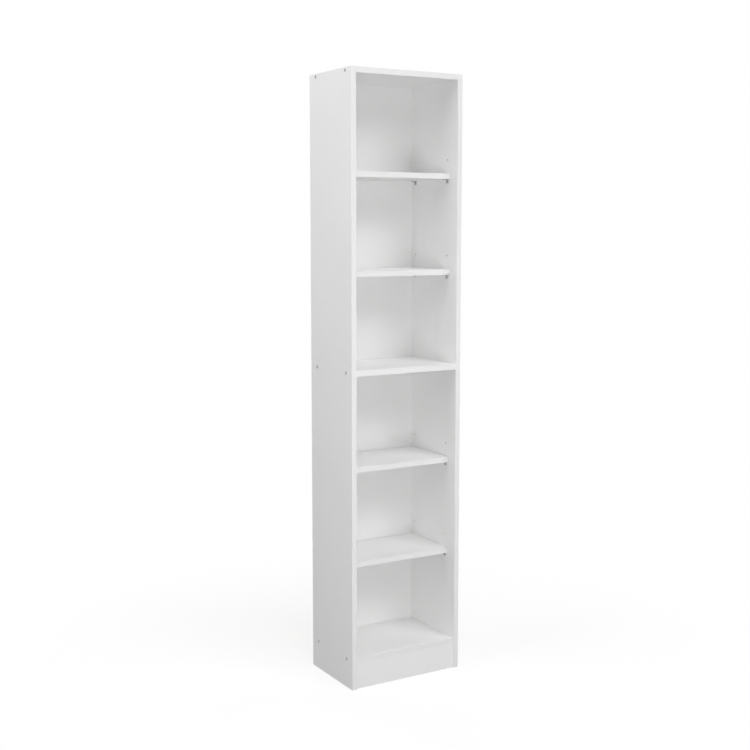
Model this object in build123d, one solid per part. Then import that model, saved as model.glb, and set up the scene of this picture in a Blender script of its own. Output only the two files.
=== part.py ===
"""Tall narrow bookcase of white melamine-faced chipboard, with a fixed shelf and four adjustable ones.

Millimetres. The origin is on the floor, under the middle of the case. +X is to the right for someone
who faces the open front, +Y is towards the back, and +Z is up.
"""

import os

from build123d import *

# ---- Boards --------------------------------------------------------------------------------------
WIDTH = 376.0                  # over the two side panels
DEPTH = 250.0                  # front edges to the back sheet's outer face
HEIGHT = 1800.0
BOARD = 16.0                   # chipboard with both its melamine faces
BAND = 0.4                     # edge band glued to an edge that shows
BAND_ROUND = 0.25              # scraped corner of an edge band
PLINTH_HEIGHT = 78.0           # floor to the bottom panel's underside
PLINTH_SET_BACK = 4.0          # plinth board and bottom panel, behind the side panels' front edges
FIXED_SHELF_SET_BACK = 1.5

# ---- Back sheet ----------------------------------------------------------------------------------
BACK_SHEET = 3.0               # hardboard, painted on the side that shows
BACK_REVEAL = 1.5              # the sheet stops this far inside the outline of the case
BACK_JOINT = 1.0               # gap between the upper and lower sheets, behind the fixed shelf

# ---- Adjustable shelves --------------------------------------------------------------------------
SHELVES_PER_COMPARTMENT = 2
SHELF_SET_BACK = 36.0          # behind the side panels' front edges
SHELF_END_GAP = 0.6            # to each side panel
SHELF_BACK_GAP = 1.0           # to the back sheet
UPPER_SHELF_DROP = 1.3         # below the height that would share the compartment out evenly
LOWER_SHELF_DROP = 4.8

# ---- Shelf supports: a bent steel strip with a pin riveted through it --------------------------------
SUPPORT_FRONT_INSET = 52.0     # front edge of the case to the front row of holes
SUPPORT_REAR_INSET = 19.0      # rear edge of the side panel to the rear row
SUPPORT_HOLE = 5.0             # diameter
SUPPORT_HOLE_DEPTH = 10.0
SPARE_HOLE_RISE = 64.0         # each shelf has a second height, this far above the first
SUPPORT_WIDTH = 10.0
SUPPORT_STRIP = 1.5            # thickness of the strip
SUPPORT_REACH = 15.0           # wall to the tip of the plate that carries the shelf
SUPPORT_LEG = 12.0             # length of the leg that lies on the wall
SUPPORT_BEND = 0.6             # inner radius of the bend
SUPPORT_CORNER = 2.5           # rounded corners of the plate and the leg
PIN_PLAY = 0.05                # radial, pin to hole
PIN_LENGTH = 8.5               # beyond the leg
PIN_DROP = 7.0                 # shelf's underside to the pin's axis
PIN_TIP_CHAMFER = 0.6
RIVET_HEAD = 6.0               # diameter of the pin's riveted end
RIVET_HEIGHT = 0.7
SUPPORT_WALL_GAP = 0.2         # leg to side panel
SHELF_SEAT_GAP = 0.3           # shelf to plate

# ---- Assembly screws, through the side panels into the ends of the boards ----------------------------
SCREW_FRONT_INSET = 34.0       # front edge of the case to the front screw
SCREW_REAR_INSET = 37.0        # rear edge of the side panel to the rear screw
SCREW_HEAD = 10.0              # diameter
SCREW_SHANK = 7.0              # diameter, over the thread too
SCREW_CORE = 4.8               # diameter at the foot of the thread
SCREW_LENGTH = 50.0
SCREW_PLAIN = 12.0             # unthreaded length, head included
SCREW_PITCH = 3.0
SCREW_POINT = 3.0
SCREW_SOCKET = 4.0             # across the flats
SCREW_SOCKET_DEPTH = 3.0
SCREW_PLAY = 0.1               # radial, screw to hole

# ---- Dowels --------------------------------------------------------------------------------------
DOWEL = 8.0                    # diameter
DOWEL_LENGTH = 30.0
DOWEL_IN_SIDE = 11.0
DOWEL_CHAMFER = 0.8
DOWEL_PLAY = 0.05              # radial
DOWEL_END_GAP = 0.5            # dowel to the bottom of its hole, at each end
PLINTH_DOWEL_INSET = 20.0      # from the plinth board's upper and lower edges

# ---- Back nails ----------------------------------------------------------------------------------
NAIL = 1.4                     # diameter
NAIL_LENGTH = 18.0
NAIL_HEAD = 3.2                # diameter
NAIL_HEAD_HEIGHT = 0.8
NAIL_POINT = 2.0
NAIL_PLAY = 0.05               # radial
NAIL_END_INSET = 25.0          # from the sheet's upper and lower edges to the nails in the side panels
NAIL_SPACING = 135.0           # about, up the side panels
NAIL_CROSS_SPACING = 100.0     # across the boards

# ---- Places worked out from those ------------------------------------------------------------------
FRONT = -DEPTH / 2
REAR = DEPTH / 2 - BACK_SHEET                 # rear edges of the boards
INNER = WIDTH / 2 - BOARD                     # middle of the case to the inner face of a side panel
BOTTOM_TOP = PLINTH_HEIGHT + BOARD            # upper face of the bottom panel
CEILING = HEIGHT - BOARD                      # underside of the top panel
FIXED_UNDERSIDE = (BOTTOM_TOP + CEILING - BOARD) / 2
SUPPORT_ROWS = {"front": FRONT + SUPPORT_FRONT_INSET, "rear": REAR - SUPPORT_REAR_INSET}
SCREW_ROWS = (FRONT + SCREW_FRONT_INSET, REAR - SCREW_REAR_INSET)
DOWEL_ROW = sum(SCREW_ROWS) / 2
SIDES = {"left": -1, "right": 1}


def compartment_shelves(floor, ceiling, drop):
    """Undersides of a compartment's shelves, upper one first."""
    bay = (ceiling - floor - SHELVES_PER_COMPARTMENT * BOARD) / (SHELVES_PER_COMPARTMENT + 1)
    undersides = [floor + bay * n + BOARD * (n - 1) - drop for n in range(1, SHELVES_PER_COMPARTMENT + 1)]
    return undersides[::-1]


UPPER_SHELVES = compartment_shelves(FIXED_UNDERSIDE + BOARD, CEILING, UPPER_SHELF_DROP)
LOWER_SHELVES = compartment_shelves(BOTTOM_TOP, FIXED_UNDERSIDE, LOWER_SHELF_DROP)
SHELF_UNDERSIDES = UPPER_SHELVES + LOWER_SHELVES
BOARD_UNDERSIDES = {"top": CEILING, "fixed_shelf": FIXED_UNDERSIDE, "bottom": PLINTH_HEIGHT}
BOARD_FRONTS = {
    "top": FRONT,
    "fixed_shelf": FRONT + FIXED_SHELF_SET_BACK,
    "bottom": FRONT + PLINTH_SET_BACK,
}


# ---- Shapes that are used more than once --------------------------------------------------------------
def block(low, high):
    """A square-edged solid between two corners."""
    size = [b - a for a, b in zip(low, high)]
    middle = [(a + b) / 2 for a, b in zip(low, high)]
    return Pos(*middle) * Box(*size)


def turned(outline):
    """A solid turned about Z, from the (radius, height) points of half its section."""
    wire = Polyline([(radius, 0, height) for radius, height in outline], close=True)
    return revolve(make_face(wire), Axis.Z)


def across(side):
    """Turns a shape that points up along Z so that it points outwards through one side panel."""
    return Rot(0, 90 * side, 0)


def band(low, high, axis):
    """An edge band between two corners, its front corners scraped round along one axis."""
    strip = block(low, high)
    front_edges = strip.faces().sort_by(Axis.Y)[0].edges().filter_by(axis)
    return fillet(front_edges, min(BAND_ROUND, BAND * 0.7))


# ---- Fasteners, each with its head or its middle at the origin -----------------------------------------
def screw_outline(play):
    """Half section of a screw, or with play of the hole that it needs: head, shank and thread."""
    head, shank, core = SCREW_HEAD / 2 + play, SCREW_SHANK / 2 + play, SCREW_CORE / 2 + play
    outline = [(0, 0), (head, 0), (shank, shank - head)]
    if play:
        return outline + [(shank, -SCREW_LENGTH - play), (0, -SCREW_LENGTH - play)]
    outline += [(shank, -SCREW_PLAIN), (core, -SCREW_PLAIN - SCREW_PITCH / 4)]
    turns = int((SCREW_LENGTH - SCREW_PLAIN - SCREW_POINT) / SCREW_PITCH)
    for turn in range(1, turns):
        crest = -SCREW_PLAIN - SCREW_PITCH * turn
        outline += [(core, crest + SCREW_PITCH / 4), (shank, crest), (core, crest - SCREW_PITCH / 4)]
    return outline + [(core, -SCREW_LENGTH + SCREW_POINT), (0, -SCREW_LENGTH)]


def screw():
    """A countersunk connecting screw with a hexagon socket."""
    socket = extrude(RegularPolygon(SCREW_SOCKET / 2, 6, major_radius=False), -SCREW_SOCKET_DEPTH)
    return turned(screw_outline(0)) - socket


def nail_outline(play):
    """Half section of a flat-headed nail, or with play of the hole that it needs."""
    head, shank = NAIL_HEAD / 2 + play, NAIL / 2 + play
    return [(0, 0), (head, 0), (head, -NAIL_HEAD_HEIGHT), (shank, -NAIL_HEAD_HEIGHT),
            (shank, -NAIL_LENGTH + NAIL_POINT), (0, -NAIL_LENGTH - play)]


def dowel():
    """A beech dowel with both ends chamfered."""
    peg = Cylinder(DOWEL / 2, DOWEL_LENGTH)
    return chamfer(peg.edges().filter_by(GeomType.CIRCLE), DOWEL_CHAMFER)


# ---- Where the fasteners go ----------------------------------------------------------------------------
def screw_places():
    """A head's middle, on the outer face of a side panel, for each screw."""
    return [(side, y, underside + BOARD / 2)
            for side in SIDES.values() for underside in BOARD_UNDERSIDES.values() for y in SCREW_ROWS]


def dowel_places():
    """Side, Y and Z of each dowel between a side panel and the end of a board."""
    boards = [(DOWEL_ROW, underside + BOARD / 2) for underside in BOARD_UNDERSIDES.values()]
    plinth_y = FRONT + PLINTH_SET_BACK + BOARD / 2
    plinth = [(plinth_y, PLINTH_DOWEL_INSET), (plinth_y, PLINTH_HEIGHT - PLINTH_DOWEL_INSET)]
    return [(side, y, z) for side in SIDES.values() for y, z in boards + plinth]


def spread(low, high, spacing):
    """Evenly spaced values from low to high, about one spacing apart."""
    gaps = max(1, round((high - low) / spacing))
    return [low + (high - low) * n / gaps for n in range(gaps + 1)]


def back_sheets():
    """Lower and upper edge of each half of the back, and the board that each edge is nailed to."""
    joint = FIXED_UNDERSIDE + BOARD / 2
    return {
        "upper": (joint + BACK_JOINT / 2, HEIGHT - BACK_REVEAL, "fixed_shelf", "top"),
        "lower": (PLINTH_HEIGHT + BACK_REVEAL, joint - BACK_JOINT / 2, "bottom", "fixed_shelf"),
    }


def nail_places(sheet):
    """X and Z of the nails through one half of the back."""
    low, high, low_board, high_board = back_sheets()[sheet]
    side_x = WIDTH / 2 - (BOARD + BACK_REVEAL) / 2
    places = [(side * side_x, z) for side in SIDES.values()
              for z in spread(low + NAIL_END_INSET, high - NAIL_END_INSET, NAIL_SPACING)]
    low_z = (low + BOARD_UNDERSIDES[low_board] + BOARD) / 2
    high_z = (high + BOARD_UNDERSIDES[high_board]) / 2
    cross = spread(-NAIL_CROSS_SPACING, NAIL_CROSS_SPACING, NAIL_CROSS_SPACING)
    return places + [(x, z) for x in cross for z in (low_z, high_z)]


def all_nail_places():
    return nail_places("upper") + nail_places("lower")


# ---- Holes ---------------------------------------------------------------------------------------------
def screw_holes():
    hole = turned(screw_outline(SCREW_PLAY))
    return [Pos(side * WIDTH / 2, y, z) * across(side) * hole for side, y, z in screw_places()]


def dowel_middle(side):
    """X of a dowel's middle: part of it is in the side panel and the rest in the board's end."""
    return side * (INNER + DOWEL_IN_SIDE - DOWEL_LENGTH / 2)


def dowel_holes():
    hole = Cylinder(DOWEL / 2 + DOWEL_PLAY, DOWEL_LENGTH + 2 * DOWEL_END_GAP)
    return [Pos(dowel_middle(side), y, z) * across(side) * hole for side, y, z in dowel_places()]


def nail_holes():
    hole = turned(nail_outline(NAIL_PLAY))
    return [Pos(x, DEPTH / 2, z) * Rot(-90, 0, 0) * hole for x, z in all_nail_places()]


def support_holes(side):
    """Blind holes in one side panel: for each shelf, the pair in use and the spare pair above it."""
    hole = Cylinder(SUPPORT_HOLE / 2, 2 * SUPPORT_HOLE_DEPTH)
    return [Pos(side * INNER, y, underside - PIN_DROP + rise) * across(side) * hole
            for underside in SHELF_UNDERSIDES for rise in (0, SPARE_HOLE_RISE)
            for y in SUPPORT_ROWS.values()]


def drilled(board, holes):
    """A board less those holes that reach it."""
    box = board.bounding_box()
    near = [hole for hole in holes if box.overlaps(hole.bounding_box())]
    return board - near if near else board


# ---- Sub-parts -----------------------------------------------------------------------------------------
def side_panel(side):
    """Chipboard side, from the floor to the top, without its edge bands."""
    x = sorted((side * INNER, side * WIDTH / 2))
    board = block((x[0], FRONT + BAND, 0), (x[1], REAR, HEIGHT - BAND))
    return drilled(board, screw_holes() + dowel_holes() + nail_holes() + support_holes(side))


def side_front_band(side):
    """Band on the front edge of a side panel, full height."""
    x = sorted((side * INNER, side * WIDTH / 2))
    return band((x[0], FRONT, 0), (x[1], FRONT + BAND, HEIGHT), Axis.Z)


def side_top_band(side):
    """Band on the upper end of a side panel, behind the front one."""
    x = sorted((side * INNER, side * WIDTH / 2))
    return block((x[0], FRONT + BAND, HEIGHT - BAND), (x[1], REAR, HEIGHT))


def cross_board(name):
    """Top panel, fixed shelf or bottom panel, between the side panels."""
    underside = BOARD_UNDERSIDES[name]
    board = block((-INNER, BOARD_FRONTS[name] + BAND, underside), (INNER, REAR, underside + BOARD))
    return drilled(board, screw_holes() + dowel_holes() + nail_holes())


def cross_board_band(name):
    underside, front = BOARD_UNDERSIDES[name], BOARD_FRONTS[name]
    return band((-INNER, front, underside), (INNER, front + BAND, underside + BOARD), Axis.X)


def plinth_board():
    """Board on edge under the bottom panel, flush with its front."""
    front = FRONT + PLINTH_SET_BACK
    board = block((-INNER, front, 0), (INNER, front + BOARD, PLINTH_HEIGHT))
    return drilled(board, dowel_holes())


def back_sheet(name):
    """Half of the hardboard back, nailed to the rear edges of the boards."""
    low, high = back_sheets()[name][:2]
    x = WIDTH / 2 - BACK_REVEAL
    return drilled(block((-x, REAR, low), (x, DEPTH / 2, high)), nail_holes())


def adjustable_shelf(underside):
    """Loose shelf, without its edge band."""
    x, front = INNER - SHELF_END_GAP, FRONT + SHELF_SET_BACK + BAND
    return block((-x, front, underside), (x, REAR - SHELF_BACK_GAP, underside + BOARD))


def adjustable_shelf_band(underside):
    x, front = INNER - SHELF_END_GAP, FRONT + SHELF_SET_BACK
    return band((-x, front, underside), (x, front + BAND, underside + BOARD), Axis.X)


def support():
    """A support for a right-hand wall at X = 0, under a shelf whose underside is at Z = 0."""
    back, top = -SUPPORT_WALL_GAP, -SHELF_SEAT_GAP
    face, under = back - SUPPORT_STRIP, top - SUPPORT_STRIP
    tip, foot = -SUPPORT_REACH, top - SUPPORT_LEG
    section = [(back, top), (tip, top), (tip, under), (face, under), (face, foot), (back, foot)]
    wire = Polyline([(x, 0, z) for x, z in section], close=True)
    strip = extrude(make_face(wire), SUPPORT_WIDTH / 2, both=True)
    for corner, radius in (((face, 0, under), SUPPORT_BEND), ((back, 0, top), SUPPORT_BEND + SUPPORT_STRIP)):
        strip = fillet(strip.edges().filter_by(Axis.Y).sort_by_distance(corner)[0], radius)
    ends = strip.edges().filter_by(Axis.Z).group_by(Axis.X)[0]
    ends += strip.edges().filter_by(Axis.X).group_by(Axis.Z)[0]
    strip = fillet(ends, SUPPORT_CORNER)
    return strip + Pos(back, 0, -PIN_DROP) * Rot(0, 90, 0) * support_pin()


def support_pin():
    """Pin along Z, with the leg's back at Z = 0: the riveted end is below it, through the strip."""
    pin, rivet = SUPPORT_HOLE / 2 - PIN_PLAY, RIVET_HEAD / 2
    end = -SUPPORT_STRIP - RIVET_HEIGHT
    return turned([(0, end), (rivet / 2, end), (rivet, -SUPPORT_STRIP), (pin, -SUPPORT_STRIP),
                   (pin, PIN_LENGTH - PIN_TIP_CHAMFER), (pin - PIN_TIP_CHAMFER, PIN_LENGTH), (0, PIN_LENGTH)])


def placed_support(side, y, underside):
    """One support, pushed into its hole."""
    shape = support() if side > 0 else mirror(support(), Plane.YZ)
    return Pos(side * INNER, y, underside) * shape


def screws(side):
    shape = screw()
    places = [(y, z) for placed_side, y, z in screw_places() if placed_side == side]
    return Compound([Pos(side * WIDTH / 2, y, z) * across(side) * shape for y, z in places])


def dowels():
    shape = dowel()
    return Compound([Pos(dowel_middle(side), y, z) * across(side) * shape for side, y, z in dowel_places()])


def nails():
    shape = turned(nail_outline(0))
    return Compound([Pos(x, DEPTH / 2, z) * Rot(-90, 0, 0) * shape for x, z in all_nail_places()])


def make_parts():
    """Every sub-part by its node name."""
    parts = {"plinth_board": plinth_board(), "wooden_dowels": dowels(), "back_nails": nails()}
    for name, side in SIDES.items():
        parts[f"side_panel_{name}"] = side_panel(side)
        parts[f"side_panel_{name}_front_band"] = side_front_band(side)
        parts[f"side_panel_{name}_top_band"] = side_top_band(side)
        parts[f"assembly_screws_{name}"] = screws(side)
    for node, name in {"top_panel": "top", "fixed_shelf": "fixed_shelf", "bottom_panel": "bottom"}.items():
        parts[node] = cross_board(name)
        parts[f"{node}_edge_band"] = cross_board_band(name)
    for name in back_sheets():
        parts[f"back_sheet_{name}"] = back_sheet(name)
    for number, underside in enumerate(SHELF_UNDERSIDES, 1):
        parts[f"adjustable_shelf_{number}"] = adjustable_shelf(underside)
        parts[f"adjustable_shelf_{number}_edge_band"] = adjustable_shelf_band(underside)
        for side_name, side in SIDES.items():
            for row_name, y in SUPPORT_ROWS.items():
                parts[f"shelf_support_{number}_{side_name}_{row_name}"] = placed_support(side, y, underside)
    return parts


def main():
    os.makedirs("parts", exist_ok=True)
    parts = make_parts()
    for name, shape in parts.items():
        export_step(shape, f"parts/{name}.step")
    print(len(parts), "nodes; shelf undersides", [round(z, 1) for z in SHELF_UNDERSIDES])


main()
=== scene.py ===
# %% [markdown]
# # A tall narrow white bookcase
#
# The piece is flat-pack furniture: boards of white melamine-faced chipboard, screwed together through
# the sides, with a hardboard back and four shelves that rest on small steel supports. Every board,
# screw and support comes from the CAD model as a fixed frame, at its real size and in its real place.
# What is left to do here is what a maker calls the finish: the skin of each board, the raw edge where
# the skin stops, the plastic edge band, the zinc on the screws, and light that shows all of it plainly.

# %% Load the CAD model
import math
from functools import cached_property

import bpy
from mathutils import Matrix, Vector


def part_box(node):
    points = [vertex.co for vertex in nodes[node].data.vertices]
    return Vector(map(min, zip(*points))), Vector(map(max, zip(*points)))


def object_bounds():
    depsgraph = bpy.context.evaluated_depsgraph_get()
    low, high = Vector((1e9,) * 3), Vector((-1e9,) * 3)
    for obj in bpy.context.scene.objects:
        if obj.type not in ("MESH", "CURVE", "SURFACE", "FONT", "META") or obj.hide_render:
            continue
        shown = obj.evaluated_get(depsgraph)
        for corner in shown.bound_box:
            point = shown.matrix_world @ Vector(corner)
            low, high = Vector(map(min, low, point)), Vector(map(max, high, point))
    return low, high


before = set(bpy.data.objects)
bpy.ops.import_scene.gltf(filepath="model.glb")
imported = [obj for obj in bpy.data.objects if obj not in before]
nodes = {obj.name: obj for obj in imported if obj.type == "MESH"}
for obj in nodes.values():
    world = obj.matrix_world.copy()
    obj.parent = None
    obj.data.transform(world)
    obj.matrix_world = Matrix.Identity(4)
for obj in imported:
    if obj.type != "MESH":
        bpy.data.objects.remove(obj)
cad_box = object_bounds()
bpy.ops.object.select_all(action="DESELECT")

MM = 0.001
lowest, highest = cad_box
print("bookcase", [round(high - low, 3) for low, high in zip(lowest, highest)], "m,", len(nodes), "nodes")

# %% [markdown]
# ## Camera
#
# Someone stands in front of the bookcase and to its left, with the camera at about chest height. A
# fairly long lens keeps the two ends of the tall case nearly the same width. The camera is turned
# about the vertical to look across the front, and tipped down a little until the case fills the frame.
# The picture could also be framed by holding the camera level and shifting the lens. That keeps the
# sides of the case exactly upright, but every other view has the same shift and would lose the top of
# the case. So only a trace of it is left.

# %% Camera
CAMERA_PLACE = (-1.851, -3.056, 1.360)
CAMERA_TURN = 30.70            # degrees to the right of straight at the front
CAMERA_TIP = 6.79              # degrees down
CAMERA_SHIFT = -0.010          # share of the picture's width, downwards
LENS = 57.12                   # mm
SENSOR = 36.0                  # mm
FAR_CLIP = 60                  # metres, past the far edge of the floor

camera_data = bpy.data.cameras.new("camera")
camera_data.sensor_width = SENSOR
camera_data.lens = LENS
camera_data.shift_y = CAMERA_SHIFT
camera_data.clip_end = FAR_CLIP
camera = bpy.data.objects.new("camera", camera_data)
camera.location = CAMERA_PLACE
camera.rotation_euler = (math.radians(90 - CAMERA_TIP), 0, math.radians(-CAMERA_TURN))
bpy.context.scene.collection.objects.link(camera)
bpy.context.scene.camera = camera
bpy.context.scene.view_settings.view_transform = "Standard"
middle_of_case = (lowest + highest) / 2
print("camera", round((Vector(CAMERA_PLACE) - middle_of_case).length, 2), "m from the middle of the case")

# %% [markdown]
# ## Writing a finish as maths
#
# A finish is worked out at every point of a surface: how far the point is from the board's face, how
# dark this flake of wood is, how high this dimple stands. Blender does that with nodes, but a page of
# sums is easier to read than a page of boxes and wires. So one small class wraps the output of a node.
# Adding, multiplying or comparing it adds the Math node that does so, and numbers may stand on either
# side. Everything that isn't plain arithmetic comes from one method, which takes the type of a node,
# its settings, and what goes into its sockets.

# %% A socket that takes part in arithmetic
class Wire:
    """One output of a shader node. Arithmetic on it adds Math nodes to the same finish."""

    def __init__(self, finish, socket):
        self.finish = finish
        self.socket = socket

    def output(self, name):
        """Another output of the same node."""
        return Wire(self.finish, self.socket.node.outputs[name])

    def maths(self, operation, *values):
        return self.finish.maths(operation, *values)

    def __add__(self, other):
        return self.maths("ADD", self, other)

    def __radd__(self, other):
        return self.maths("ADD", other, self)

    def __sub__(self, other):
        return self.maths("SUBTRACT", self, other)

    def __rsub__(self, other):
        return self.maths("SUBTRACT", other, self)

    def __mul__(self, other):
        return self.maths("MULTIPLY", self, other)

    def __rmul__(self, other):
        return self.maths("MULTIPLY", other, self)

    def __truediv__(self, other):
        return self.maths("DIVIDE", self, other)

    def __gt__(self, other):
        return self.maths("GREATER_THAN", self, other)

    def __lt__(self, other):
        return self.maths("LESS_THAN", self, other)

    def __abs__(self):
        return self.maths("ABSOLUTE", self)

    def sine(self):
        return self.maths("SINE", self)


# %% A finish, built node by node
class Finish:
    """The nodes of one material, or of the room, and the place that they are worked out at."""

    def __init__(self, owner):
        owner.use_nodes = True
        self.owner = owner
        self.tree = owner.node_tree

    @cached_property
    def place(self):
        return self.node("ShaderNodeTexCoord").output("Object")

    @cached_property
    def along(self):
        """The place along X, Y and Z, in metres."""
        parts = self.node("ShaderNodeSeparateXYZ", {}, {"Vector": self.place})
        return [parts.output(axis) for axis in "XYZ"]

    def node(self, kind, settings=None, sockets=None):
        """Adds a node: its settings first, then a value or a wire for each socket, by name or number."""
        made = self.tree.nodes.new(kind)
        for name, value in (settings or {}).items():
            if name == "stops":
                self.set_stops(made.color_ramp, value)
            else:
                setattr(made, name, value)
        for key, value in (sockets or {}).items():
            self.plug(made, key, value)
        return Wire(self, next(socket for socket in made.outputs if socket.enabled))

    def maths(self, operation, *values):
        return self.node("ShaderNodeMath", {"operation": operation}, dict(enumerate(values)))

    def plug(self, node, key, value):
        """Joins a wire to a socket, or writes a constant on it."""
        usable = [socket for socket in node.inputs if socket.enabled]
        socket = usable[key] if isinstance(key, int) else next(s for s in usable if s.name == key)
        if isinstance(value, Wire):
            self.tree.links.new(value.socket, socket)
        else:
            socket.default_value = value

    def set_stops(self, ramp, stops):
        """Gives a colour ramp its (place, colour) stops, lowest first."""
        while len(ramp.elements) > 1:
            ramp.elements.remove(ramp.elements[-1])
        ramp.elements[0].position, ramp.elements[0].color = stops[0]
        for place, colour in stops[1:]:
            ramp.elements.new(place).color = colour

    def noise(self, size, detail=2.0, stretch=None, roughness=0.5):
        """Cloudy noise from 0 to 1, with clouds about so many millimetres across."""
        return self.node("ShaderNodeTexNoise", {}, {
            "Vector": self.stretched(stretch),
            "Scale": 1 / (size * MM),
            "Detail": detail,
            "Roughness": roughness,
        })

    def cells(self, size, feature="F1", stretch=None, place=None):
        """Random cells about so many millimetres across: distance from each one's middle, 0 to about 1."""
        return self.node("ShaderNodeTexVoronoi", {"feature": feature}, {
            "Vector": self.stretched(stretch, place),
            "Scale": 1 / (size * MM),
        })

    def stretched(self, stretch, place=None):
        """The place, with a pattern drawn out so many times along X, Y and Z."""
        place = place or self.place
        if stretch is None:
            return place
        squeeze = [1 / times for times in stretch]
        return self.node("ShaderNodeVectorMath", {"operation": "MULTIPLY"}, {0: place, 1: squeeze})

    def drifted(self, size, reach):
        """The place, pushed about at random by up to so many metres, so that a pattern on it bends."""
        push = self.noise(size, detail=2).output("Color")
        return self.node("ShaderNodeVectorMath", {"operation": "MULTIPLY_ADD"},
                         {0: push, 1: (reach, reach, reach), 2: self.place})

    def ramp(self, value, *stops):
        """Turns a value into a colour through stops of (place, colour)."""
        stops = [(place, (*colour, 1)) for place, colour in stops]
        return self.node("ShaderNodeValToRGB", {"stops": stops}, {"Fac": value})

    def between(self, low, high, value):
        """0 up to low, 1 from high on, and a smooth rise in between."""
        return self.node("ShaderNodeMapRange", {"interpolation_type": "SMOOTHSTEP"},
                         {"Value": value, "From Min": low, "From Max": high})

    def mix(self, share, first, second):
        """The first colour where the share is 0, the second where it is 1."""
        first, second = [colour if isinstance(colour, Wire) else (*colour, 1) for colour in (first, second)]
        return self.node("ShaderNodeMix", {"data_type": "RGBA"}, {"Factor": share, "A": first, "B": second})

    def surface(self, colour, roughness, height, **constants):
        """Joins it all to the Principled shader. The height is in metres."""
        shader = self.tree.nodes["Principled BSDF"]
        bump = self.node("ShaderNodeBump", {}, {"Height": height, "Distance": 1.0})
        self.plug(shader, "Base Color", colour)
        self.plug(shader, "Roughness", roughness)
        self.plug(shader, "Normal", bump)
        for name, value in constants.items():
            self.plug(shader, name.replace("_", " "), value)
        print(self.owner.name, len(self.tree.nodes), "nodes")
        return self.owner


def new_finish(name):
    return Finish(bpy.data.materials.new(name))


# %% [markdown]
# ## The skin of a board
#
# Melamine facing is paper soaked in resin, pressed hot on the chipboard against an etched steel plate.
# The plate leaves a satin surface of shallow dimples about a millimetre apart, which makers call pearl.
# Under the skin the chips still lie a little unevenly, so a long reflection wavers very slightly, and
# the sheen differs a little from place to place. All of it could be drawn as an image, but a pattern
# worked out from the place itself has no seams and no edges, and is right at any distance. The plinth
# board is given a duller white than the rest, which is painted shade for the dimmer light near the floor.

# %% Melamine skin
MELAMINE = (0.89, 0.89, 0.888)
# Painted shade: the plinth's white is set darker for the dimmer light near the floor.
PLINTH_WHITE_PAINTED_SHADE = (0.80, 0.80, 0.798)
PALER, DULLER = 1.012, 0.986   # how far the white drifts either way
TONE_CLOUD = 240               # mm across the slow changes in tone
HANDLED = 46                   # mm across the patches that handling has left shinier or duller
PAPER_FIBRE = 6                # mm across the clouds of fibre in the facing paper
PEARL = 1.3                    # mm from dimple to dimple
PEARL_DEPTH = 0.030 * MM
WAVE = 34.0                    # mm across the waves that the chips raise
WAVE_DEPTH = 0.010 * MM


def melamine(finish, white):
    """Colour, roughness and height of the pressed skin."""
    cloud = finish.noise(TONE_CLOUD, detail=3)
    handled = finish.noise(HANDLED, detail=4)
    dimple = finish.cells(PEARL, "SMOOTH_F1")
    wave = finish.noise(WAVE, detail=1)
    fibre = finish.noise(PAPER_FIBRE, detail=4)
    tone = 0.6 * cloud + 0.25 * fibre + 0.15 * handled
    paler, duller = [tuple(part * share for part in white) for share in (PALER, DULLER)]
    colour = finish.mix(finish.between(0.35, 0.65, tone), duller, paler)
    roughness = 0.40 + 0.07 * handled + 0.05 * dimple
    height = PEARL_DEPTH * dimple + WAVE_DEPTH * wave
    return colour, roughness, height


# %% [markdown]
# ## The raw core
#
# Where the saw or the drill has cut through, the inside of the board shows: flakes of wood glued under
# pressure. They lie nearly flat, so on an edge they are long thin slivers that bend round each other.
# The middle of the board has coarse flakes with dark gaps between them, and the layers next to the
# skins are pressed from finer ones. The holes for the shelf supports, the rear edges and the ends of
# the loose shelves all show it. Two sizes of cell pattern, squeezed across the board's thickness and
# bent by noise, give each flake its own tone, and a finer noise draws the fibres in it.

# %% Chipboard core
CORE_STOPS = (
    (0.00, (0.270, 0.190, 0.120)),
    (0.22, (0.500, 0.385, 0.262)),
    (0.60, (0.690, 0.570, 0.420)),
    (0.86, (0.780, 0.680, 0.540)),
    (1.00, (0.850, 0.770, 0.650)),
)
COARSE_FLAKE = 1.5             # mm thick
FINE_FLAKE = 0.6
FLAKE_DEPTH = 0.20 * MM
BEND = 2.4 * MM                # how far the flakes stray from lying flat
BEND_SIZE = 7                  # mm from one bend to the next
LAYER_BLUR = 5                 # mm across the ripples where the fine layers meet the coarse one
WOOD_FIBRE = 0.35              # mm thick
GAP = 1.3                      # mm across the gaps between coarse flakes


def chipboard(finish, squeeze, depth):
    """Colour, roughness and height of the cut core. The depth is 0 at a face and 1 in mid-board."""
    bent = finish.drifted(BEND_SIZE, BEND)
    coarse = finish.cells(COARSE_FLAKE, stretch=squeeze, place=bent)
    fine = finish.cells(FINE_FLAKE, stretch=squeeze, place=bent)
    core = finish.between(0.25, 0.55, depth + 0.25 * finish.noise(LAYER_BLUR) - 0.12)
    tint = finish.mix(core, fine.output("Color"), coarse.output("Color"))
    shade = finish.node("ShaderNodeSeparateColor", {}, {"Color": tint})
    edge = finish.between(0.40, 0.85, fine + core * (coarse - fine))
    fibres = finish.noise(WOOD_FIBRE, detail=3, stretch=squeeze)
    gaps = core * finish.between(0.62, 0.70, finish.noise(GAP, detail=2, stretch=squeeze))
    tone = 0.14 + 0.55 * shade + 0.36 * fibres - 0.16 * edge - 0.50 * gaps
    colour = finish.ramp(tone, *CORE_STOPS)
    height = FLAKE_DEPTH * (shade * (0.3 + 0.5 * core) - 0.6 * edge - 2 * gaps)
    return colour, 0.88 - 0.1 * shade, height


# %% [markdown]
# ## Dressing the boards
#
# A board is skin on its two faces and core everywhere else, so the two finishes are one material with
# a boundary between them. The boundary could be painted face by face, but the skin has a thickness
# too: looked at on a cut edge it is a thin white line. Distance from the middle of the board gives all
# of that at once, on faces, on edges and down every drilled hole. Each board's middle and thickness
# come from its CAD box, so a board of another size would be dressed right as well.

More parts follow.
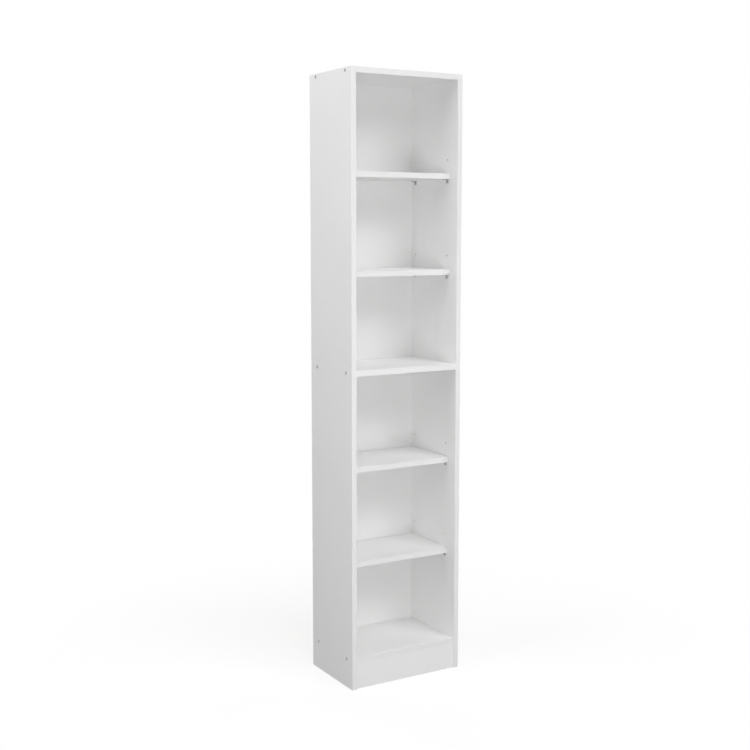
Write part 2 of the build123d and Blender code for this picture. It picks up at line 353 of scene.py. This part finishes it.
# %% Board finish
SKIN = 0.25 * MM
SQUEEZE = 4.5                  # times longer than thick that the flakes look on an edge


def board_finish(name, axis, middle, half, mirrored=False, white=MELAMINE):
    """White faces and a raw core for a board whose faces lie so far either side of its middle."""
    finish = new_finish(name)
    along = abs(finish.along[axis]) if mirrored else finish.along[axis]
    away = abs(along - middle)
    squeeze = [1 if n == axis else SQUEEZE for n in range(3)]
    skin_colour, skin_roughness, skin_height = melamine(finish, white)
    core_colour, core_roughness, core_height = chipboard(finish, squeeze, 1 - away / half)
    skin = away > half - SKIN
    colour = finish.mix(skin, core_colour, skin_colour)
    roughness = core_roughness + skin * (skin_roughness - core_roughness)
    height = core_height + skin * (skin_height - core_height)
    return finish.surface(colour, roughness, height, Specular_IOR_Level=0.5)


def dress(name, material):
    """Gives a CAD node its finish."""
    slots = nodes[name].data.materials
    slots.clear()
    slots.append(material)


def face_planes(name, axis):
    """Middle and half thickness of a board along one axis."""
    low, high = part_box(name)
    return (low[axis] + high[axis]) / 2, (high[axis] - low[axis]) / 2


side_middle, side_half = face_planes("side_panel_right", 0)
side_finish = board_finish("white_board_sides", 0, side_middle, side_half, mirrored=True)
for side in ("left", "right"):
    dress(f"side_panel_{side}", side_finish)
# The plinth gets its darker white, a painted shade for the dimmer light near the floor.
plinth_painted_shade_finish = board_finish("white_board_plinth_painted_shade", 1, *face_planes("plinth_board", 1), white=PLINTH_WHITE_PAINTED_SHADE)
dress("plinth_board", plinth_painted_shade_finish)
level_boards = ["top_panel", "fixed_shelf", "bottom_panel"]
level_boards += [f"adjustable_shelf_{number}" for number in range(1, 5)]
for name in level_boards:
    dress(name, board_finish(f"white_{name}", 2, *face_planes(name, 2)))
print(len(level_boards) + 3, "boards dressed")

# %% [markdown]
# ## Edge bands
#
# The edges that show are covered with a plastic band 0.4 mm thick. It is pressed on hot, trimmed flush
# and scraped, which leaves faint lines along its length and a slightly glossier surface than the
# boards. Its white is set a shade duller than the facing's, which is painted shade: it holds back the
# light that falls full on the front edges. Noise drawn out along the band makes the lines. A band that
# runs up a side panel has them upright and one across a shelf has them level, so the direction is
# found from the band's own box.

# %% Edge band finish
# Painted shade: the band's white is set below the facing's, for the strong light on the front edges.
BAND_WHITE_PAINTED_SHADE = (0.785, 0.785, 0.783)
BAND_DULLER = 0.975
BAND_CLOUD = 90                # mm across the slow changes in tone
SCRAPE = 0.35                  # mm between scrape lines
SCRAPE_LENGTH = 220            # times longer than that
SCRAPE_DEPTH = 0.004 * MM
WAVER = 14                     # mm across the waves that the scraper leaves
WAVER_LENGTH = 6               # times longer than that


def band_finish(name, axis):
    """White plastic with scrape marks along one axis."""
    finish = new_finish(name)
    along = [SCRAPE_LENGTH if n == axis else 1 for n in range(3)]
    scrape = finish.noise(SCRAPE, detail=2, stretch=along)
    cloud = finish.noise(BAND_CLOUD, detail=2)
    waver = finish.noise(WAVER, detail=1, stretch=[WAVER_LENGTH if n == axis else 1 for n in range(3)])
    duller = tuple(part * BAND_DULLER for part in BAND_WHITE_PAINTED_SHADE)
    colour = finish.mix(0.5 * cloud + 0.5 * scrape, duller, BAND_WHITE_PAINTED_SHADE)
    height = SCRAPE_DEPTH * scrape + 2 * SCRAPE_DEPTH * waver
    return finish.surface(colour, 0.30 + 0.12 * scrape + 0.06 * cloud, height, Specular_IOR_Level=0.5)


band_finishes = {axis: band_finish(f"edge_band_{'xyz'[axis]}", axis) for axis in range(3)}
bands = [name for name in nodes if name.endswith("_band")]
for name in bands:
    low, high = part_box(name)
    sizes = list(high - low)
    dress(name, band_finishes[sizes.index(max(sizes))])
print(len(bands), "edge bands dressed")

# %% [markdown]
# ## The hardboard back
#
# Hardboard is wood fibre pressed into a thin hard sheet. The side that faces the shelves is painted
# white and baked, smooth with a faint fibrous grain. The other side faces the wall and is left bare:
# brown, flecked with darker fibres, and marked by the woven wire mesh that let the water out as it was
# pressed. One material serves both sides and the cut edge. Which side a point is on follows from how
# deep it lies in the sheet, and the paint is a skin about a tenth of a millimetre thick.

# %% Hardboard finish
PAINT_WHITE = (0.88, 0.88, 0.878)
PAINT_DULLER = 0.98
PAINT = 0.12 * MM
MESH_PITCH = 1.4 * MM
MESH_DEPTH = 0.10 * MM
PULP_FIBRE = 3.2               # mm
FLECK = 1.6                    # mm
BLOTCH = 120                   # mm
FIBRE_STOPS = (
    (0.00, (0.105, 0.058, 0.030)),
    (0.35, (0.215, 0.128, 0.068)),
    (0.65, (0.300, 0.188, 0.104)),
    (1.00, (0.410, 0.275, 0.165)),
)


def hardboard_finish(name):
    finish = new_finish(name)
    front_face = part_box("back_sheet_upper")[0].y
    across, depth, up = finish.along
    painted = depth - front_face < PAINT
    fibres = finish.noise(PULP_FIBRE, detail=6, stretch=(3, 1, 1), roughness=0.65)
    flecks = finish.between(0.60, 0.74, finish.noise(FLECK, detail=3, stretch=(1, 1, 4)))
    blotch = finish.noise(BLOTCH, detail=4)
    mesh = (across * (2 * math.pi / MESH_PITCH)).sine() * (up * (2 * math.pi / MESH_PITCH)).sine()
    tone = 0.10 + 0.50 * fibres + 0.42 * blotch - 0.25 * flecks + 0.05 * mesh
    bare = finish.ramp(tone, *FIBRE_STOPS)
    duller = tuple(part * PAINT_DULLER for part in PAINT_WHITE)
    paint = finish.mix(0.6 * blotch + 0.4 * fibres, duller, PAINT_WHITE)
    colour = finish.mix(painted, bare, paint)
    roughness = 0.80 + 0.08 * fibres - painted * (0.36 + 0.08 * fibres - 0.06 * blotch)
    relief = MESH_DEPTH * 0.5 * mesh + 0.05 * MM * fibres
    grain = 0.014 * MM * fibres + 0.02 * MM * blotch
    return finish.surface(colour, roughness, relief + painted * (grain - relief), Specular_IOR_Level=0.5)


back_finish = hardboard_finish("back_hardboard")
for half in ("upper", "lower"):
    dress(f"back_sheet_{half}", back_finish)

# %% [markdown]
# ## Steel and beech
#
# The connecting screws are zinc plated and bright, the shelf supports are plated too but duller from
# being tumbled together in a bag, and the back nails are bare drawn steel. All three are metal, so
# their colour is that of the reflection. What tells them apart is how sharp the reflection is and how
# much it changes over the surface: fine pits in the plating, rubbed patches, and marks of the wire
# drawing. Inside the sockets of the screws the colour is darkened, a painted shade for the shadow
# that falls there. The dowels are beech, with short dark flecks along the grain.

# %% Metals
# The last share is painted shade: the colour inside a screw's socket is darkened for the shadow there.
DULL, BRIGHT, SOCKET_PAINTED_SHADE = 0.86, 1.06, 0.55          # shares of a metal's colour: pitted, rubbed, in a socket


def metal_finish(name, colour, roughness, pits, rubbed, depth, painted_shade_mask=None):
    """Plated or drawn steel. Pits and rubbed patches are sizes in millimetres."""
    finish = new_finish(name)
    pit = finish.noise(pits, detail=3, roughness=0.6)
    patch = finish.noise(rubbed, detail=4)
    worn = finish.between(0.42, 0.68, patch)
    dull, bright, shade_painted_colour = [tuple(part * share for part in colour) for share in (DULL, BRIGHT, SOCKET_PAINTED_SHADE)]
    base = finish.mix(worn, dull, bright)
    # Painted shade: inside a socket the colour darkens towards the shaded copy of the metal.
    if painted_shade_mask is not None:
        base = finish.mix(painted_shade_mask(finish), base, shade_painted_colour)
    blur = roughness + 0.14 * pit - 0.10 * worn
    return finish.surface(base, blur, depth * pit, Metallic=1.0)


HEAD_FACE = highest.x
# How far below the head's face the painted shade in a socket reaches its full darkness.
SOCKET_PAINTED_SHADE_DEPTH = 1.5 * MM


def socket_painted_shade_mask(finish):
    """Where a socket gets painted shade: 1 below the face of a screw's head, which is only open to view
    inside the socket.
    """
    return finish.between(0.0, SOCKET_PAINTED_SHADE_DEPTH, HEAD_FACE - abs(finish.along[0]))


ZINC = (0.52, 0.525, 0.535)
SUPPORT_STEEL = (0.56, 0.56, 0.57)
NAIL_STEEL = (0.50, 0.50, 0.51)
# The zinc gets painted shade inside the screw sockets.
zinc = metal_finish("zinc_plate", ZINC, roughness=0.34, pits=0.25, rubbed=3.0, depth=0.010 * MM,
                    painted_shade_mask=socket_painted_shade_mask)
dull_steel = metal_finish("support_steel", SUPPORT_STEEL, roughness=0.40, pits=0.40, rubbed=4.0,
                          depth=0.015 * MM)
drawn_steel = metal_finish("nail_steel", NAIL_STEEL, roughness=0.38, pits=0.30, rubbed=2.0,
                           depth=0.008 * MM)

# %% Beech
RING, RAY, PORE = 1.6, 0.5, 0.14         # mm
PORE_DEPTH = 0.02 * MM
BEECH_STOPS = (
    (0.00, (0.330, 0.205, 0.115)),
    (0.40, (0.520, 0.360, 0.220)),
    (1.00, (0.660, 0.490, 0.320)),
)


def beech_finish(name):
    """Beech with its grain along X, as the dowels lie."""
    finish = new_finish(name)
    rings = finish.noise(RING, detail=4, stretch=(14, 1, 1))
    rays = finish.between(0.62, 0.70, finish.noise(RAY, detail=1, stretch=(6, 1, 1)))
    pores = finish.noise(PORE, detail=2, stretch=(20, 1, 1))
    colour = finish.ramp(0.15 + 0.9 * rings - 0.3 * rays, *BEECH_STOPS)
    return finish.surface(colour, 0.62 + 0.1 * pores, PORE_DEPTH * (pores - rays), Specular_IOR_Level=0.4)


small_parts = {"assembly_screws": zinc, "shelf_support": dull_steel, "back_nails": drawn_steel,
               "wooden_dowels": beech_finish("beech")}
for start, material in small_parts.items():
    matching = [name for name in nodes if name.startswith(start)]
    for name in matching:
        dress(name, material)
    print(material.name, "on", len(matching), "nodes")

# %% [markdown]
# ## Floor and background
#
# The bookcase stands on a plain pale floor in a white room. The camera sees both as white, but the
# floor still has to take the shadow under the case, or the piece would seem to float. So what the
# camera sees of the floor is part plain white and part a pale matt surface that darkens in shadow, and
# far from the case it is white alone, so no horizon shows. Light that bounces off it meets the matt
# surface only.

# %% Floor and background
FLOOR_MATT = 0.35              # what the floor gives back to the case
FLOOR_SIZE = 24.0              # metres
SHADOW_SHARE = 0.25            # how much of a shadow on the floor is shown
CLEAR_FROM, CLEAR_TO = 0.4, 1.4          # metres from the case over which the floor turns plain white
WHITE = (1, 1, 1, 1)


def looked_at(finish):
    """1 for what the camera sees, straight or in a reflection, and 0 for light that spreads."""
    path = finish.node("ShaderNodeLightPath")
    seen = finish.maths("MAXIMUM", path.output("Is Camera Ray"), path.output("Is Glossy Ray"))
    return finish.maths("MAXIMUM", seen, path.output("Is Transmission Ray"))


bpy.ops.mesh.primitive_plane_add(size=FLOOR_SIZE, location=(0, 0, 0))
floor = bpy.context.object
floor.name = "floor"

ground = new_finish("pale_floor")
far = ground.node("ShaderNodeVectorMath", {"operation": "LENGTH"}, {0: ground.place}).output("Value")
plain = 1 - SHADOW_SHARE * (1 - ground.between(CLEAR_FROM, CLEAR_TO, far))
matt = ground.node("ShaderNodeBsdfDiffuse", {}, {"Color": (FLOOR_MATT, FLOOR_MATT, FLOOR_MATT, 1)})
shadowed = ground.node("ShaderNodeBsdfDiffuse", {}, {"Color": WHITE})
blank = ground.node("ShaderNodeEmission", {}, {"Color": WHITE, "Strength": 1.0})
shown = ground.node("ShaderNodeMixShader", {}, {0: plain, 1: shadowed, 2: blank})
pale = ground.node("ShaderNodeMixShader", {}, {0: looked_at(ground), 1: matt, 2: shown})
ground.plug(ground.tree.nodes["Material Output"], "Surface", pale)
floor.data.materials.append(ground.owner)
print("floor", FLOOR_SIZE, "m across")

# %% [markdown]
# ## Light
#
# The boards are white, so the light has to stay below the level at which white turns to a blank. Three
# large soft lamps high in front do most of it: they reach into every bay and light each shelf. The one
# on the right is the strongest, so it shines across to the left of each bay and leaves the right-hand
# corner a shade darker. Three weak ones low in front lift the undersides. One high on the left lights
# the outer side, more at the top than at the foot. Two more stand behind and to the right for the faces
# that look that way. They are broad, so that no bright spot of theirs shows in a screw head or along a
# side. The room itself gives a little. Real studio lamps are broad panels too, so square area lamps are
# placed round the case by their direction and distance, all turned towards the middle of it.

# %% Lamps
ROOM_LIGHT = 0.06
AIM = Vector((0, 0, 0.95))
LAMPS = {
    # turn from straight in front, positive to the right; rise above level; metres away; width; watts
    "high_right": (20, 41, 6.0, 2.5, 114),
    "high_left": (-20, 40, 6.0, 2.5, 40),
    "highest": (-20, 55, 6.0, 2.5, 75),
    "low": (-20, -8, 3.2, 1.6, 24),
    "low_left": (-45, -5, 3.2, 1.6, 16),
    "low_right": (30, -8, 3.2, 1.6, 16),
    "left": (-90, 40, 3.2, 1.6, 44),
    "right": (100, 20, 3.6, 3.0, 40),
    "behind": (165, 25, 3.6, 3.0, 45),
}


def direction(turn, rise):
    """From the middle of the case towards a lamp."""
    turn, rise = math.radians(turn), math.radians(rise)
    return Vector((math.sin(turn) * math.cos(rise), -math.cos(turn) * math.cos(rise), math.sin(rise)))


def place_lamp(name, turn, rise, away, width, watts):
    """Adds a square soft lamp so far from the middle of the case, turned to face it."""
    panel = bpy.data.lights.new(name, "AREA")
    panel.energy = watts
    panel.size = width
    towards = direction(turn, rise)
    lamp = bpy.data.objects.new(name, panel)
    lamp.location = AIM + away * towards
    lamp.rotation_euler = towards.to_track_quat("Z", "Y").to_euler()
    lamp.visible_camera = False
    bpy.context.scene.collection.objects.link(lamp)
    print(name, "lamp at", [round(part, 2) for part in lamp.location])


for name, settings in LAMPS.items():
    place_lamp(name, *settings)

world = bpy.data.worlds.new("room")
bpy.context.scene.world = world
room = Finish(world)
room_strength = ROOM_LIGHT + (1 - ROOM_LIGHT) * looked_at(room)
room.plug(room.tree.nodes["Background"], "Color", WHITE)
room.plug(room.tree.nodes["Background"], "Strength", room_strength)
